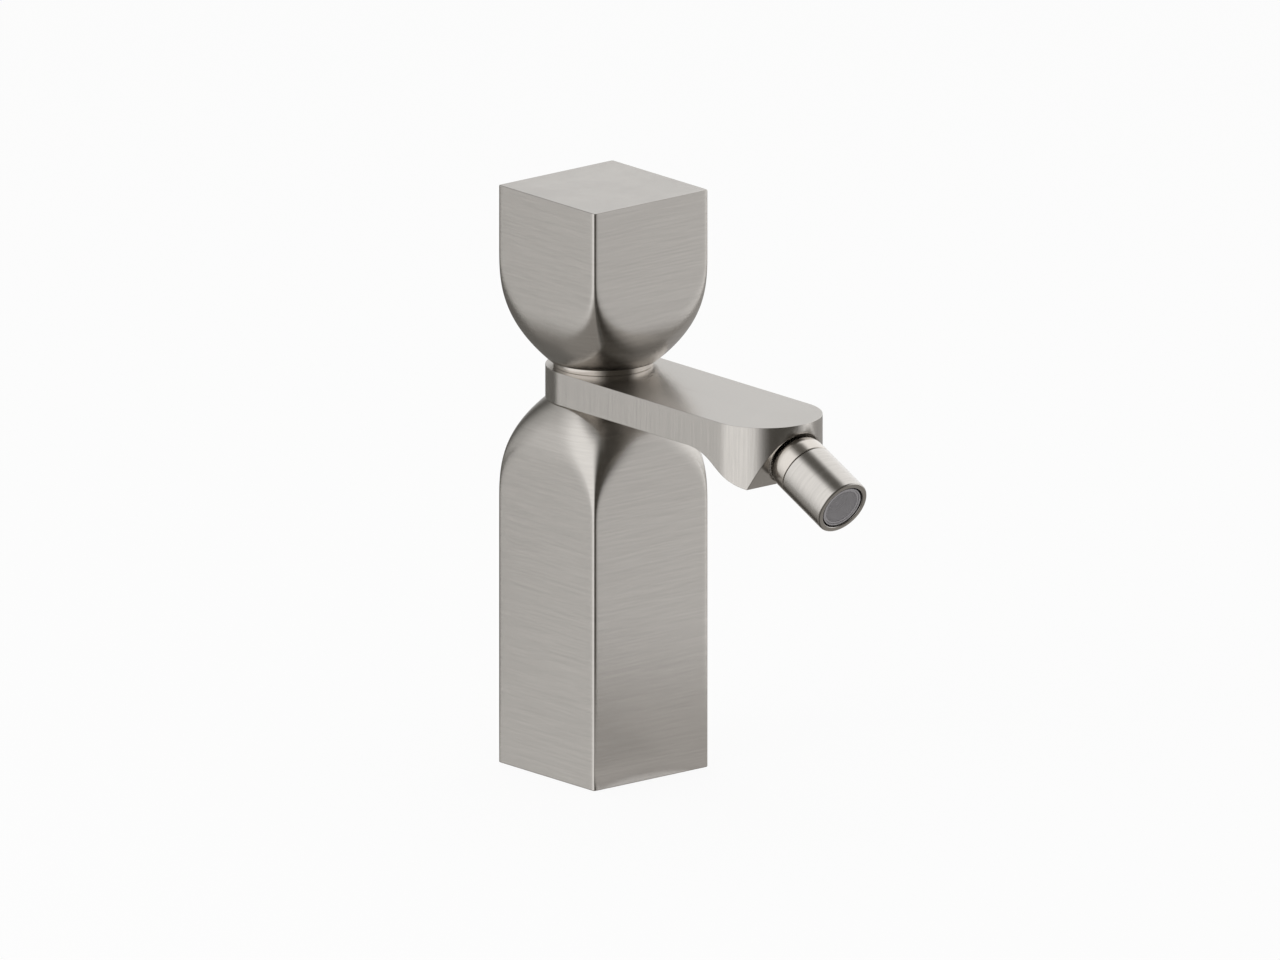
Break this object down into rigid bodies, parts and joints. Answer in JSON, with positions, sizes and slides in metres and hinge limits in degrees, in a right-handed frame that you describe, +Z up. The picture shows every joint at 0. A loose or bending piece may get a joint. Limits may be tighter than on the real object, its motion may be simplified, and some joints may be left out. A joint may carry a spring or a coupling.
{
  "type": "bidet mixer",
  "caption": "Single-hole bidet mixer: square column, flat spout plate, square turning handle and a small nozzle on a ball joint that tips and swivels.",
  "frame": {"origin": "middle of the column's base, on the surface that the mixer stands on", "axes": "+Z up along the column, the spout points along -Y, +X to the right of a person who faces the handle from the spout's side"},
  "size_m": [0.045, 0.1384, 0.18],
  "materials": {
    "brushed_nickel": "brushed nickel plate on brass",
    "polished_nickel": "bright nickel plate on brass",
    "brass": "turned brass",
    "steel": "stainless steel",
    "ceramic": "lapped alumina ceramic",
    "white_plastic": "moulded acetal",
    "grey_plastic": "moulded plastic",
    "black_plastic": "glass-filled nylon",
    "rubber": "black sealing rubber"
  },
  "bodies": {
    "stand": {"column": "brushed_nickel", "core": "brass", "core_key": "steel", "base_seal": "rubber", "spout": "brushed_nickel", "spout_oring_lower": "rubber", "spout_oring_upper": "rubber", "neck_ring": "polished_nickel", "cartridge_base": "white_plastic", "port_seals": "rubber", "disc_seals": "rubber", "fixed_disc": "ceramic", "cartridge_housing": "white_plastic", "glide_ring": "grey_plastic", "stop_ring": "steel", "cartridge_nut": "brass", "ball_stud": "polished_nickel", "stud_oring": "rubber"},
    "handle": {"handle": "brushed_nickel", "handle_insert": "black_plastic", "grub_screw": "steel", "spindle": "brass", "spindle_oring": "rubber", "moving_disc": "ceramic"},
    "ball_seats": {"seat_ring_rear": "white_plastic", "seat_ring_front": "white_plastic"},
    "nozzle": {"nozzle_collar": "polished_nickel", "nozzle_barrel": "polished_nickel", "aerator_washer": "rubber", "aerator_insert": "grey_plastic", "flow_regulator": "black_plastic", "aerator_screen": "grey_plastic"}
  },
  "joints": [
    {"name": "handle_turn", "type": "hinge", "parent": "stand", "child": "handle", "pos_m": [0, 0, 0.127], "axis": [0, 0, 1], "range_deg": [0, 110]},
    {"name": "nozzle_swivel", "type": "hinge", "parent": "stand", "child": "ball_seats", "pos_m": [0, -0.0924, 0.11227], "axis": [0, -0.9063, -0.4226], "continuous": true},
    {"name": "nozzle_tilt", "type": "hinge", "parent": "ball_seats", "child": "nozzle", "pos_m": [0, -0.0924, 0.11227], "axis": [1, 0, 0], "range_deg": [-15, 15]}
  ]
}
